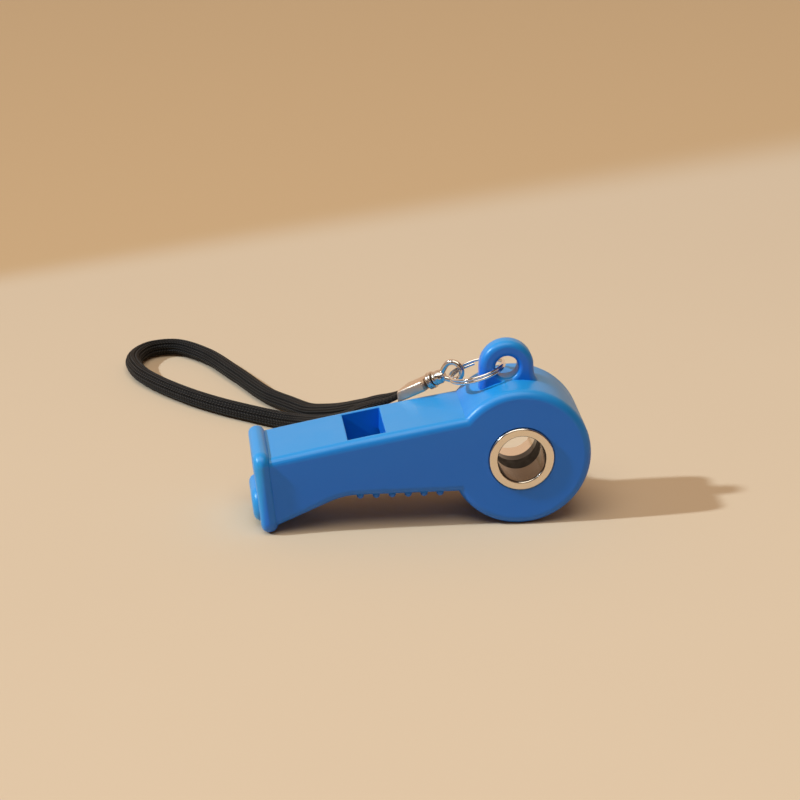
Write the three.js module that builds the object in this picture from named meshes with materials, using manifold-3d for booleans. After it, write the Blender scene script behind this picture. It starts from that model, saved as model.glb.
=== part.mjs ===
// Dog whistle in two moulded halves, with an eyelet through the drum, a split ring in the lug,
// a swivel, a folded cord clamp and a looped wrist cord.
// Millimetres, +Z up. The blowing end points to -X, the drum stands at +X, y = 0 is the seam.
// Everything is laid out from the drum's axis at x = 0 and moved to the middle of the body at the end.
import * as THREE from "three";
import { mergeVertices } from "three/addons/utils/BufferGeometryUtils.js";
import Module from "manifold-3d";

const wasm = await Module();
wasm.setup();

// Body
const OVERALL_LENGTH = 57.3;
const DRUM_RADIUS = 12;
const BODY_THICKNESS = 15.2;
const EDGE_ROUND = 1.45;
const WALL = 1.7;
const DRUM_X = OVERALL_LENGTH / 2 - DRUM_RADIUS;
const LIP_X = DRUM_RADIUS - OVERALL_LENGTH;

// Barrel: the top climbs towards the drum and sags below its straight line on the way, the
// underside flares down to the mouth
const TOP_SLOPE = 0.2;
const TOP_BELOW_CROWN = 2.08;
const TOP_SAG = 1.05;
const UNDERSIDE_HEIGHT = 6.2;
const FLARE_START = LIP_X + 15.4;
const FLARE_BEND = 2.4;
const FLARE_FOOT_HEIGHT = 0.7;
const RIB_COUNT = 6;
const RIB_PITCH = 2.7;
const RIB_RADIUS = 0.65;
const RIB_DROP = 0.9;
const FIRST_RIB = LIP_X + 18.2;
const RIB_INSET = 1.05;

// Mouth: a bead all round the end, leaning out at the top, with a pad below the windway
const MOUTH_LEAN = THREE.MathUtils.degToRad(6.2);
const BEAD_THICKNESS = 2.8;
const BEAD_ROUND = 1.3;
const BEAD_PROUD = 0.6;
const BEAD_HEIGHT = 14.5;
const BEAD_CORNER = 2.3;
const BEAD_FOOT_X = LIP_X + 2.85;
const PAD_WIDTH = 11;
const PAD_HEIGHT = 6.1;
const PAD_BOTTOM = 0.8;
const PAD_THICKNESS = 2.7;
const PAD_ROUND = 1.3;
const PAD_CORNER = 2.95;

// Windway, window and chamber
const WINDWAY_ROOF = 1.6;
const WINDWAY_WIDTH = 10.4;
const WINDWAY_MOUTH_HEIGHT = 2.2;
const WINDWAY_EXIT_HEIGHT = 1.4;
const WINDOW_START = LIP_X + 16.2;
const WINDOW_LENGTH = 6.3;
const LABIUM_DEPTH = 3.8;
const CHAMBER_ROOF_ANGLE = THREE.MathUtils.degToRad(140);

// Bore through the drum and the two eyelets in it
const BORE_RADIUS = 4.05;
const EYELET_WALL = 0.42;
const EYELET_GAP = 0.1;
const EYELET_FLANGE_RADIUS = 5.52;
const EYELET_FLANGE = 0.75;
const EYELET_PROUD = 0.38;
const EYELET_ROUND = 0.28;
const RECESS_GAP = 0.16;
const SLEEVE_LENGTH = 3.9;
const BOSS_WALL = 1.35;

// Lug on the crown of the drum
const LUG_X = -1.8;
const LUG_Z = 2 * DRUM_RADIUS + 2.15;
const LUG_RADIUS = 4.6;
const LUG_HOLE_RADIUS = 1.95;
const LUG_THICKNESS = 3.5;
const LUG_ROUND = 1.1;
const LUG_HOLE_ROUND = 0.8;
const LUG_HEEL = 1.35;
const LUG_HEEL_FOOT = 0.3;
const LUG_HEEL_CURVE = 0.6;

// Split ring: two turns of wire, hanging in the lug towards the mouth and the far side
const RING_RADIUS = 5.04;
const RING_WIRE = 0.52;
const RING_PITCH = 0.95;
const RING_DIP = THREE.MathUtils.degToRad(16.9);
const RING_ROLL = THREE.MathUtils.degToRad(3.2);
const RING_REACH = 5.256;
const RING_SIDE = 1.885;
const RING_CROSSOVER = THREE.MathUtils.degToRad(120);
const RING_CROSSOVER_HALF = THREE.MathUtils.degToRad(30);
const RING_STEPS_PER_TURN = 24;
const RING_SIDES = 6;

// Swivel: its own axis runs from the clamp up to the eye on the split ring
const EYE_ON_RING = THREE.MathUtils.degToRad(46);
const SWIVEL_YAW = THREE.MathUtils.degToRad(30.3);
const SWIVEL_PITCH = THREE.MathUtils.degToRad(30);
const EYE_RADIUS = 1.6;
const EYE_TUBE = 0.44;
const EYE_ARC = THREE.MathUtils.degToRad(115);
const EYE_POINTS = 11;
const EYE_LEG = 0.42;
const EYE_NECK = 2.2;
const BARREL_RADIUS = 0.95;
const BARREL_NECK = 0.8;
const BARREL_START = 2.2;
const BARREL_TAPER = 0.35;
const BARREL_END = 3.9;
const TURNED_ROUND = 0.12;
const COLLAR_RADIUS = 1.2;
const COLLAR_LENGTH = 1.1;
const SWIVEL_GAP = 0.15;
const PIN_RADIUS = 0.35;
const PIN_GAP = 0.08;
const PIN_DEPTH = 0.8;
const PIN_HEAD_RADIUS = 0.47;
const PIN_HEAD = 0.35;

// Clamp: folded sheet, open towards the cord, with a seam along the underside
const CLAMP_LENGTH = 5.8;
const CLAMP_WIDTH = 5.2;
const CLAMP_THICKNESS = 1.65;
const CLAMP_SHEET = 0.28;
const CLAMP_CORNER = 0.45;
const CLAMP_SEAM = 0.35;
const CLAMP_BEVEL = 0.9;
const CLAMP_AT = BARREL_END + 2 * SWIVEL_GAP + COLLAR_LENGTH;

// Wrist cord: one loop, both ends side by side in the clamp's mouth
const CORD_DIAMETER = 3.1;
const CORD_SPACING = 3.25;
const CORD_GAP = 0.3;
const CORD_LEAVE = 1.6;
const CORD_SIDES = 8;
const CORD_STEPS = 72;
const CORD_ABOVE_FLOOR = 0.08;

const BLUE = new THREE.MeshStandardMaterial({ color: 0x2f6fc4, roughness: 0.45 });
const NICKEL = new THREE.MeshStandardMaterial({ color: 0xc9c0b4, metalness: 1, roughness: 0.2 });
const CHROME = new THREE.MeshStandardMaterial({ color: 0xd4d6da, metalness: 1, roughness: 0.1 });
const BLACK = new THREE.MeshStandardMaterial({ color: 0x0c0c0c, roughness: 0.6 });
const BRAID = new THREE.MeshStandardMaterial({ color: 0x15161a, roughness: 0.9 });

// A closed geometry as a solid that can be joined and cut
function solidOf(geometry, place = new THREE.Matrix4()) {
  const bare = geometry.index ? geometry.toNonIndexed() : geometry.clone();
  bare.deleteAttribute("normal");
  bare.deleteAttribute("uv");
  bare.applyMatrix4(place);
  const merged = mergeVertices(bare, 1e-4);
  return new wasm.Manifold(
    new wasm.Mesh({
      numProp: 3,
      vertProperties: merged.attributes.position.array,
      triVerts: new Uint32Array(merged.index.array),
    }),
  );
}

function meshOf(name, solid, material) {
  const cut = solid.getMesh();
  const positions = new Float32Array(cut.numVert * 3);
  for (let i = 0; i < cut.numVert; i++) {
    const at = i * cut.numProp;
    positions.set(cut.vertProperties.subarray(at, at + 3), i * 3);
  }
  const geometry = new THREE.BufferGeometry();
  geometry.setAttribute("position", new THREE.BufferAttribute(positions, 3));
  geometry.setIndex(new THREE.BufferAttribute(new Uint32Array(cut.triVerts), 1));
  geometry.computeVertexNormals();
  const mesh = new THREE.Mesh(geometry, material);
  mesh.name = name;
  return mesh;
}

// The outline as straight steps, without the doubled points where two arcs meet
function stepped(shape, curveSegments) {
  const points = shape.getPoints(curveSegments);
  return new THREE.Shape(
    points.filter((point, i) => point.distanceTo(points.at(i - 1)) > 1e-6),
  );
}

// A slab of a side-view outline (x, z), centred on y = 0, with its two rims rounded
function slabGeometry(shape, thickness, round = 0, curveSegments = 16, roundSegments = 5) {
  const depth = thickness - 2 * round;
  const geometry = new THREE.ExtrudeGeometry(stepped(shape, curveSegments), {
    depth,
    bevelEnabled: round > 0,
    bevelThickness: round,
    bevelSize: round,
    bevelOffset: -round,
    bevelSegments: roundSegments,
  });
  geometry.translate(0, 0, -depth / 2);
  return geometry;
}

function sideSlab(shape, thickness, round, curveSegments, roundSegments) {
  const geometry = slabGeometry(shape, thickness, round, curveSegments, roundSegments);
  return solidOf(geometry.rotateX(Math.PI / 2));
}

function roundedRectangle(width, height, corner) {
  const w = width / 2;
  const h = height / 2;
  const shape = new THREE.Shape();
  shape.moveTo(corner - w, -h);
  shape.lineTo(w - corner, -h);
  shape.absarc(w - corner, corner - h, corner, -Math.PI / 2, 0);
  shape.lineTo(w, h - corner);
  shape.absarc(w - corner, h - corner, corner, 0, Math.PI / 2);
  shape.lineTo(corner - w, h);
  shape.absarc(corner - w, h - corner, corner, Math.PI / 2, Math.PI);
  shape.lineTo(-w, corner - h);
  shape.absarc(corner - w, corner - h, corner, Math.PI, 1.5 * Math.PI);
  return shape;
}

// A cylinder across the body, along Y
function crossCylinder(radius, length, x, z, segments = 48) {
  const geometry = new THREE.CylinderGeometry(radius, radius, length, segments);
  return solidOf(geometry, new THREE.Matrix4().makeTranslation(x, 0, z));
}

// A turned piece: profile points (radius, along), about Y
function turned(points, segments) {
  const profile = points.map(([radius, along]) => new THREE.Vector2(radius, along));
  return new THREE.LatheGeometry(profile, segments);
}

// Height of the barrel's top, and the height that its straight line at a point has elsewhere
function barrelTop(x) {
  const along = 1 - x / BEAD_FOOT_X;
  return 2 * DRUM_RADIUS - TOP_BELOW_CROWN + TOP_SLOPE * x - TOP_SAG * along ** 2;
}

function topTangent(at, x) {
  const slope = TOP_SLOPE + (2 * TOP_SAG * (1 - at / BEAD_FOOT_X)) / BEAD_FOOT_X;
  return barrelTop(at) + slope * (x - at);
}

// Where the barrel's top runs into the drum's circle, on the mouth's side
function topMeetsDrum() {
  let outside = -DRUM_RADIUS;
  let inside = 0;
  for (let i = 0; i < 40; i++) {
    const x = (outside + inside) / 2;
    if (Math.hypot(x, barrelTop(x) - DRUM_RADIUS) > DRUM_RADIUS) outside = x;
    else inside = x;
  }
  return outside;
}

// The side view of barrel and drum in one outline
function bodyOutline() {
  const under = DRUM_RADIUS - UNDERSIDE_HEIGHT;
  const underAngle = Math.PI + Math.asin(under / DRUM_RADIUS);
  const slope = (UNDERSIDE_HEIGHT - FLARE_FOOT_HEIGHT) / (FLARE_START - BEAD_FOOT_X);
  const shape = new THREE.Shape();
  shape.moveTo(BEAD_FOOT_X, FLARE_FOOT_HEIGHT);
  shape.lineTo(FLARE_START - FLARE_BEND, UNDERSIDE_HEIGHT - slope * FLARE_BEND);
  shape.quadraticCurveTo(
    FLARE_START,
    UNDERSIDE_HEIGHT,
    FLARE_START + FLARE_BEND,
    UNDERSIDE_HEIGHT,
  );
  shape.lineTo(DRUM_RADIUS * Math.cos(underAngle), UNDERSIDE_HEIGHT);
  shape.absarc(0, DRUM_RADIUS, DRUM_RADIUS, underAngle, 1.5 * Math.PI);
  shape.absarc(0, DRUM_RADIUS, DRUM_RADIUS, -Math.PI / 2, 0);
  shape.absarc(0, DRUM_RADIUS, DRUM_RADIUS, 0, Math.PI / 2);
  const meetX = topMeetsDrum();
  const meetAngle = Math.atan2(barrelTop(meetX) - DRUM_RADIUS, meetX);
  shape.absarc(0, DRUM_RADIUS, DRUM_RADIUS, Math.PI / 2, meetAngle);
  const endX = BEAD_FOOT_X - Math.tan(MOUTH_LEAN) * barrelTop(BEAD_FOOT_X);
  const middleX = (meetX + endX) / 2;
  shape.quadraticCurveTo(middleX, topTangent(meetX, middleX), endX, barrelTop(endX));
  return shape;
}

// A slab across the mouth: its outline faces along X and leans out with the bead
function mouthSlab(shape, thickness, round, x, z) {
  const geometry = slabGeometry(shape, thickness, round, 5, 4);
  const across = new THREE.Vector3(0, 1, 0);
  const up = new THREE.Vector3(-Math.sin(MOUTH_LEAN), 0, Math.cos(MOUTH_LEAN));
  const through = new THREE.Vector3().crossVectors(across, up);
  const place = new THREE.Matrix4().makeBasis(across, up, through);
  place.setPosition(x, 0, z);
  return solidOf(geometry, place);
}

function mouthBead() {
  const width = BODY_THICKNESS + 2 * BEAD_PROUD;
  const half = BEAD_HEIGHT / 2;
  const rise = (half - BEAD_ROUND) * Math.cos(MOUTH_LEAN) + BEAD_ROUND;
  const x = BEAD_FOOT_X - (half - BEAD_ROUND) * Math.sin(MOUTH_LEAN);
  const outline = roundedRectangle(width, BEAD_HEIGHT, BEAD_CORNER);
  const bead = mouthSlab(outline, BEAD_THICKNESS, BEAD_ROUND, x, rise);
  return bead.translate([0, 0, -bead.boundingBox().min[2]]);
}

function mouthPad() {
  const outline = roundedRectangle(PAD_WIDTH, PAD_HEIGHT, PAD_CORNER);
  const z = PAD_BOTTOM + PAD_HEIGHT / 2;
  const pad = mouthSlab(outline, PAD_THICKNESS, PAD_ROUND, LIP_X, z);
  return pad.translate([LIP_X - pad.boundingBox().min[0], 0, 0]);
}

function rib(index) {
  const length = BODY_THICKNESS - 2 * RIB_INSET - 2 * RIB_RADIUS;
  const geometry = new THREE.CapsuleGeometry(RIB_RADIUS, length, 4, 12);
  const x = FIRST_RIB + index * RIB_PITCH;
  const z = UNDERSIDE_HEIGHT - RIB_DROP + RIB_RADIUS;
  return solidOf(geometry, new THREE.Matrix4().makeTranslation(x, 0, z));
}

// The lug's plate stands on the crown, with a heel on the side away from the mouth. Its foot
// reaches into the drum, where the chamber cuts it off at the wall.
function lug() {
  const foot = LUG_Z - 1.6 * LUG_RADIUS;
  const left = LUG_X - LUG_RADIUS;
  const right = LUG_X + LUG_RADIUS;
  const heel = right + LUG_HEEL;
  const heelTop = DRUM_RADIUS + Math.sqrt(DRUM_RADIUS ** 2 - heel ** 2);
  const shape = new THREE.Shape();
  shape.moveTo(left, foot);
  shape.lineTo(heel, foot);
  shape.lineTo(heel, heelTop - LUG_HEEL_FOOT);
  shape.quadraticCurveTo(right, heelTop + LUG_HEEL_CURVE, right, LUG_Z);
  shape.absarc(LUG_X, LUG_Z, LUG_RADIUS, 0, Math.PI);
  const plate = sideSlab(shape, LUG_THICKNESS, LUG_ROUND, 10, 5);
  return plate.subtract(lugHole());
}

// The lug's hole, flared round at both faces
function lugHole() {
  const half = LUG_THICKNESS / 2;
  const points = [[0, -half - 1]];
  const wide = LUG_HOLE_RADIUS + LUG_HOLE_ROUND;
  const flare = [];
  const steps = 4;
  for (let i = 0; i <= steps; i++) {
    const turn = (i / steps) * (Math.PI / 2);
    const radius = wide - LUG_HOLE_ROUND * Math.sin(turn);
    flare.push([radius, half - LUG_HOLE_ROUND + LUG_HOLE_ROUND * Math.cos(turn)]);
  }
  points.push([wide, -half - 1]);
  for (const [radius, along] of flare) points.push([radius, -along]);
  for (const [radius, along] of flare.reverse()) points.push([radius, along]);
  points.push([wide, half + 1]);
  points.push([0, half + 1]);
  const place = new THREE.Matrix4().makeTranslation(LUG_X, 0, LUG_Z);
  return solidOf(turned(points, 28), place);
}

// The slot that the breath goes through, from the mouth to the window
function windway() {
  const start = LIP_X - 1;
  const end = WINDOW_START + 0.2;
  const shape = new THREE.Shape();
  const roof = (x) => barrelTop(x) - WINDWAY_ROOF;
  shape.moveTo(start, roof(start));
  shape.lineTo(start, roof(start) - WINDWAY_MOUTH_HEIGHT);
  shape.lineTo(end, roof(end) - WINDWAY_EXIT_HEIGHT);
  shape.lineTo(end, roof(end));
  return sideSlab(shape, WINDWAY_WIDTH);
}

// The window, the space under it and the ring-shaped chamber round the bore's boss
function chamber() {
  const inside = BODY_THICKNESS - 2 * WALL;
  const floor = UNDERSIDE_HEIGHT + WALL;
  const lip = WINDOW_START + WINDOW_LENGTH;
  const outer = DRUM_RADIUS - WALL;
  const boss = BORE_RADIUS + EYELET_WALL + EYELET_GAP + BOSS_WALL;
  const roofX = outer * Math.cos(CHAMBER_ROOF_ANGLE);
  const roofZ = DRUM_RADIUS + outer * Math.sin(CHAMBER_ROOF_ANGLE);
  const shape = new THREE.Shape();
  shape.moveTo(WINDOW_START, floor);
  shape.lineTo(roofX, floor);
  shape.lineTo(roofX, roofZ);
  shape.lineTo(lip, barrelTop(lip) - LABIUM_DEPTH);
  shape.lineTo(lip, barrelTop(lip) + 2);
  shape.lineTo(WINDOW_START, barrelTop(WINDOW_START) + 2);
  const barrel = sideSlab(shape, inside);
  const round = crossCylinder(outer, inside, 0, DRUM_RADIUS);
  const core = crossCylinder(boss, inside + 1, 0, DRUM_RADIUS);
  return barrel.add(round).subtract(core);
}

function boreCut() {
  const hole = BORE_RADIUS + EYELET_WALL + EYELET_GAP;
  const recess = EYELET_FLANGE_RADIUS + RECESS_GAP;
  const face = BODY_THICKNESS / 2;
  const seat = face + EYELET_PROUD - EYELET_FLANGE;
  const points = [
    [0, -face - 1],
    [recess, -face - 1],
    [recess, -seat],
    [hole, -seat],
    [hole, seat],
    [recess, seat],
    [recess, face + 1],
    [0, face + 1],
  ];
  return solidOf(turned(points, 64), new THREE.Matrix4().makeTranslation(0, 0, DRUM_RADIUS));
}

function bodySolid() {
  let body = sideSlab(bodyOutline(), BODY_THICKNESS, EDGE_ROUND, 11, 5);
  body = body.add(mouthBead()).add(mouthPad()).add(lug());
  for (let i = 0; i < RIB_COUNT; i++) body = body.add(rib(i));
  return body.subtract(chamber()).subtract(windway()).subtract(boreCut());
}

// One half of the body: side -1 is the near half, side 1 the far half
function halfOf(body, side) {
  const reach = 3 * OVERALL_LENGTH;
  const box = new THREE.BoxGeometry(reach, reach, reach);
  const place = new THREE.Matrix4().makeTranslation(0, (side * reach) / 2, 0);
  return body.intersect(solidOf(box, place));
}

// An eyelet pressed in from one side: flange proud of the face, tube reaching the black sleeve
function eyelet(side) {
  const outer = BORE_RADIUS + EYELET_WALL;
  const face = BODY_THICKNESS / 2 + EYELET_PROUD;
  const seat = face - EYELET_FLANGE;
  const round = EYELET_ROUND;
  const points = [
    [BORE_RADIUS, SLEEVE_LENGTH / 2],
    [outer, SLEEVE_LENGTH / 2],
    [outer, seat],
    [EYELET_FLANGE_RADIUS, seat],
    [EYELET_FLANGE_RADIUS, face - round],
    [EYELET_FLANGE_RADIUS - 0.3 * round, face - 0.3 * round],
    [EYELET_FLANGE_RADIUS - round, face],
    [BORE_RADIUS + 1.2 * round, face],
    [BORE_RADIUS + 0.4 * round, face - 0.35 * round],
    [BORE_RADIUS, face - 1.2 * round],
    [BORE_RADIUS, SLEEVE_LENGTH / 2],
  ];
  const geometry = turned(points, 64);
  if (side < 0) geometry.rotateX(Math.PI);
  return solidOf(geometry, new THREE.Matrix4().makeTranslation(0, 0, DRUM_RADIUS));
}

function boreSleeve() {
  const half = SLEEVE_LENGTH / 2;
  const outer = BORE_RADIUS + EYELET_WALL;
  const points = [
    [BORE_RADIUS, -half],
    [outer, -half],
    [outer, half],
    [BORE_RADIUS, half],
    [BORE_RADIUS, -half],
  ];
  return solidOf(turned(points, 64), new THREE.Matrix4().makeTranslation(0, 0, DRUM_RADIUS));
}

// The split ring's own frame, from the middle of the lug's hole: X out to the ring's far end,
// Y to the far side, Z the ring's axis
function ringFrame() {
  const out = new THREE.Vector3(-Math.cos(RING_DIP), 0, -Math.sin(RING_DIP));
  const side = new THREE.Vector3(0, 1, 0).applyAxisAngle(out, RING_ROLL);
  const axis = new THREE.Vector3().crossVectors(out, side);
  const frame = new THREE.Matrix4().makeBasis(out, side, axis);
  const centre = new THREE.Vector3(LUG_X, 0, LUG_Z);
  centre.addScaledVector(out, RING_REACH).addScaledVector(side, RING_SIDE);
  return frame.setPosition(centre);
}

// One unbroken wire: flat for most of each turn, crossing to the second turn in one place
class RingWire extends THREE.Curve {
  getPoint(t, target = new THREE.Vector3()) {
    const from = RING_CROSSOVER + RING_CROSSOVER_HALF;
    const sweep = 4 * Math.PI - 2 * RING_CROSSOVER_HALF;
    const angle = sweep * t;
    const middle = sweep / 2;
    const across = (angle - middle) / RING_CROSSOVER_HALF;
    const step = THREE.MathUtils.smoothstep(across, -1, 1) - 0.5;
    const turn = from + angle;
    return target.set(
      RING_RADIUS * Math.cos(turn),
      RING_RADIUS * Math.sin(turn),
      RING_PITCH * step,
    );
  }
}

function polygonShape(radius, sides) {
  const shape = new THREE.Shape();
  for (let i = 0; i < sides; i++) {
    const turn = (i / sides) * 2 * Math.PI;
    const x = radius * Math.cos(turn);
    const y = radius * Math.sin(turn);
    if (i === 0) shape.moveTo(x, y);
    else shape.lineTo(x, y);
  }
  return shape;
}

// The least clear space between two turns of the wire, measured between its points
function leastRingGap(points, stepsPerTurn) {
  let least = Infinity;
  for (let i = 0; i < points.length; i++)
    for (let j = i + stepsPerTurn / 2; j < points.length; j++)
      least = Math.min(least, points[i].distanceTo(points[j]));
  return least - RING_WIRE;
}

function splitRing() {
  const path = new RingWire();
  const turns = 2 - RING_CROSSOVER_HALF / Math.PI;
  const steps = Math.round(RING_STEPS_PER_TURN * turns);
  const geometry = new THREE.ExtrudeGeometry(polygonShape(RING_WIRE / 2, RING_SIDES), {
    steps,
    extrudePath: path,
    bevelEnabled: false,
  });
  const gap = leastRingGap(path.getSpacedPoints(steps), RING_STEPS_PER_TURN);
  console.log("split ring: least gap between its turns " + gap.toFixed(3) + " mm");
  return solidOf(geometry, ringFrame());
}

// The swivel's frame: Z runs along its axis from the clamp to the eye, X across the clamp to
// the far side, Y up; its origin is the middle of the eye, on the split ring's wire
function swivelFrame() {
  const level = Math.cos(SWIVEL_PITCH);
  const along = new THREE.Vector3(
    level * Math.cos(SWIVEL_YAW),
    -level * Math.sin(SWIVEL_YAW),
    Math.sin(SWIVEL_PITCH),
  );
  const across = new THREE.Vector3(Math.sin(SWIVEL_YAW), Math.cos(SWIVEL_YAW), 0);
  const up = new THREE.Vector3().crossVectors(along, across);
  const eye = new THREE.Vector3(
    RING_RADIUS * Math.cos(EYE_ON_RING),
    RING_RADIUS * Math.sin(EYE_ON_RING),
    0,
  ).applyMatrix4(ringFrame());
  return new THREE.Matrix4().makeBasis(across, up, along).setPosition(eye);
}

// A turned piece of the swivel: profile points (radius, distance from the eye towards the clamp)
function swivelTurned(points, segments = 24) {
  return solidOf(turned(points, segments).rotateX(-Math.PI / 2));
}

// The eye's wire: most of a circle round the split ring, then two legs that meet in the barrel
function eyeWire() {
  const points = [];
  for (let i = 0; i < EYE_POINTS; i++) {
    const turn = EYE_ARC * ((2 * i) / (EYE_POINTS - 1) - 1);
    points.push(new THREE.Vector3(0, EYE_RADIUS * Math.sin(turn), EYE_RADIUS * Math.cos(turn)));
  }
  points.push(new THREE.Vector3(0, EYE_LEG, -EYE_NECK));
  points.push(new THREE.Vector3(0, 0, -EYE_NECK - EYE_LEG));
  points.push(new THREE.Vector3(0, -EYE_LEG, -EYE_NECK));
  return new THREE.CatmullRomCurve3(points, true, "centripetal");
}

function swivelEye() {
  const ring = solidOf(new THREE.TubeGeometry(eyeWire(), 44, EYE_TUBE, 10, true));
  const hole = PIN_RADIUS + PIN_GAP;
  const holeEnd = BARREL_END - PIN_DEPTH;
  const barrel = swivelTurned([
    [0, BARREL_START],
    [BARREL_NECK, BARREL_START],
    [BARREL_RADIUS, BARREL_START + BARREL_TAPER],
    [BARREL_RADIUS, BARREL_END - TURNED_ROUND],
    [BARREL_RADIUS - TURNED_ROUND, BARREL_END],
    [hole, BARREL_END],
    [hole, holeEnd],
    [0, holeEnd],
  ]);
  return ring.add(barrel);
}

function swivelCollar() {
  const start = BARREL_END + SWIVEL_GAP;
  const end = start + COLLAR_LENGTH;
  const hole = PIN_RADIUS + PIN_GAP;
  const soft = TURNED_ROUND;
  const middle = (start + end) / 2;
  return swivelTurned([
    [hole, start],
    [COLLAR_RADIUS - soft, start],
    [COLLAR_RADIUS, start + soft],
    [COLLAR_RADIUS, middle - 2 * soft],
    [COLLAR_RADIUS - soft, middle - soft],
    [COLLAR_RADIUS - soft, middle + soft],
    [COLLAR_RADIUS, middle + 2 * soft],
    [COLLAR_RADIUS, end - soft],
    [COLLAR_RADIUS - soft, end],
    [hole, end],
    [hole, start],
  ]);
}

// The rivet: shank from inside the barrel to a head inside the clamp's end wall
function swivelPin() {
  const start = BARREL_END - PIN_DEPTH + PIN_GAP;
  const inside = CLAMP_AT + CLAMP_SHEET + PIN_GAP;
  return swivelTurned([
    [0, start],
    [PIN_RADIUS, start],
    [PIN_RADIUS, inside],
    [PIN_HEAD_RADIUS, inside],
    [PIN_HEAD_RADIUS, inside + PIN_HEAD],
    [0, inside + PIN_HEAD],
  ], 16);
}

// The clamp's sleeve is drawn from behind (across, up) and run along the swivel's axis
function clampSolid() {
  const outline = roundedRectangle(CLAMP_WIDTH, CLAMP_THICKNESS, CLAMP_CORNER);
  const block = new THREE.ExtrudeGeometry(stepped(outline, 4), {
    depth: CLAMP_LENGTH,
    bevelEnabled: false,
  });
  const width = CLAMP_WIDTH - 2 * CLAMP_SHEET;
  const height = CLAMP_THICKNESS - 2 * CLAMP_SHEET;
  const pocket = new THREE.BoxGeometry(width, height, CLAMP_LENGTH);
  const seam = new THREE.BoxGeometry(CLAMP_SEAM, CLAMP_THICKNESS, CLAMP_LENGTH);
  const bore = PIN_RADIUS + PIN_GAP;
  const hole = new THREE.CylinderGeometry(bore, bore, 4 * CLAMP_SHEET, 16);
  hole.rotateX(Math.PI / 2);
  const at = (x, y, z) => new THREE.Matrix4().makeTranslation(x, y, z);
  const end = -CLAMP_AT - CLAMP_LENGTH;
  const inside = end + CLAMP_LENGTH / 2 - CLAMP_SHEET;
  let clamp = solidOf(block, at(0, 0, end));
  clamp = clamp.subtract(solidOf(pocket, at(0, 0, inside)));
  clamp = clamp.subtract(solidOf(seam, at(0, -CLAMP_THICKNESS / 2, inside - CLAMP_SHEET)));
  clamp = clamp.subtract(solidOf(hole, at(0, 0, -CLAMP_AT)));
  return clamp.subtract(clampBevel(end));
}

// The slanting cut that takes the top off the clamp's mouth
function clampBevel(end) {
  const top = CLAMP_THICKNESS / 2;
  const shape = new THREE.Shape();
  shape.moveTo(end - 1, top + 1);
  shape.lineTo(end - 1, -top);
  shape.lineTo(end, -0.3 * top);
  shape.lineTo(end + CLAMP_BEVEL, top);
  shape.lineTo(end + CLAMP_BEVEL, top + 1);
  const wedge = new THREE.ExtrudeGeometry(shape, { depth: 2 * CLAMP_WIDTH, bevelEnabled: false });
  wedge.translate(0, 0, -CLAMP_WIDTH);
  return solidOf(wedge.rotateY(-Math.PI / 2));
}

// The loop's way: [x, y] from the middle of the clamp's mouth, and height above the floor as a
// share of the clamp's height. It leaves on the far side and comes back on the near side.
const CORD_ROUTE = [
  [-2.4, 4.1, 0.845],
  [-4.3, 7.4, 0.705],
  [-6.6, 12.9, 0.54],
  [-8.9, 19.0, 0.37],
  [-11.2, 24.7, 0.23],
  [-13.6, 30.4, 0.11],
  [-16.6, 37.2, 0.04],
  [-20.4, 44.1, 0],
  [-25.7, 56.3, 0],
  [-31.3, 67.9, 0],
  [-36.6, 73.0, 0],
  [-41.8, 72.0, 0],
  [-44.9, 66.4, 0],
  [-43.9, 59.1, 0],
  [-41.0, 53.3, 0],
  [-35.3, 45.6, 0],
  [-29.6, 39.7, 0],
  [-23.9, 35.0, 0],
  [-19.0, 31.0, 0.01],
  [-15.6, 27.5, 0.05],
  [-13.2, 22.8, 0.14],
  [-10.9, 16.7, 0.29],
  [-8.4, 10.2, 0.49],
  [-6.0, 4.4, 0.71],
  [-4.2, 1.2, 0.85],
];

function wristCord() {
  const frame = swivelFrame();
  const away = CLAMP_AT + CLAMP_LENGTH;
  const local = (x, z) => new THREE.Vector3(x, 0, z).applyMatrix4(frame);
  const mouth = local(0, -away);
  const floor = CORD_DIAMETER / 2 + CORD_ABOVE_FLOOR;
  const half = CORD_SPACING / 2;
  const route = CORD_ROUTE.map(
    ([x, y, share]) =>
      new THREE.Vector3(mouth.x + x, mouth.y + y, floor + share * (mouth.z - floor)),
  );
  const points = [
    local(half, -away - CORD_GAP),
    local(half, -away - CORD_GAP - CORD_LEAVE),
    ...route,
    local(-half, -away - CORD_GAP - CORD_LEAVE),
    local(-half, -away - CORD_GAP),
  ];
  const path = new THREE.CatmullRomCurve3(points, false, "centripetal");
  path.arcLengthDivisions = 1200;
  const geometry = new THREE.ExtrudeGeometry(polygonShape(CORD_DIAMETER / 2, CORD_SIDES), {
    steps: CORD_STEPS,
    extrudePath: path,
    bevelEnabled: false,
  });
  console.log("wrist cord: " + path.getLength().toFixed(1) + " mm long");
  return solidOf(geometry);
}

const whistle = new THREE.Group();
whistle.name = "dog_whistle";
whistle.position.x = DRUM_X;

const body = bodySolid();
whistle.add(meshOf("body_shell_near", halfOf(body, -1), BLUE));
whistle.add(meshOf("body_shell_far", halfOf(body, 1), BLUE));
whistle.add(meshOf("eyelet_near", eyelet(-1), NICKEL));
whistle.add(meshOf("eyelet_far", eyelet(1), NICKEL));
whistle.add(meshOf("bore_sleeve", boreSleeve(), BLACK));
whistle.add(meshOf("split_ring", splitRing(), CHROME));
whistle.add(meshOf("wrist_cord", wristCord(), BRAID));

const swivel = new THREE.Group();
swivelFrame().decompose(swivel.position, swivel.quaternion, swivel.scale);
swivel.add(meshOf("swivel_eye", swivelEye(), CHROME));
swivel.add(meshOf("swivel_collar", swivelCollar(), CHROME));
swivel.add(meshOf("swivel_pin", swivelPin(), CHROME));
swivel.add(meshOf("cord_clamp", clampSolid(), NICKEL));
whistle.add(swivel);

export default whistle;
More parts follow.
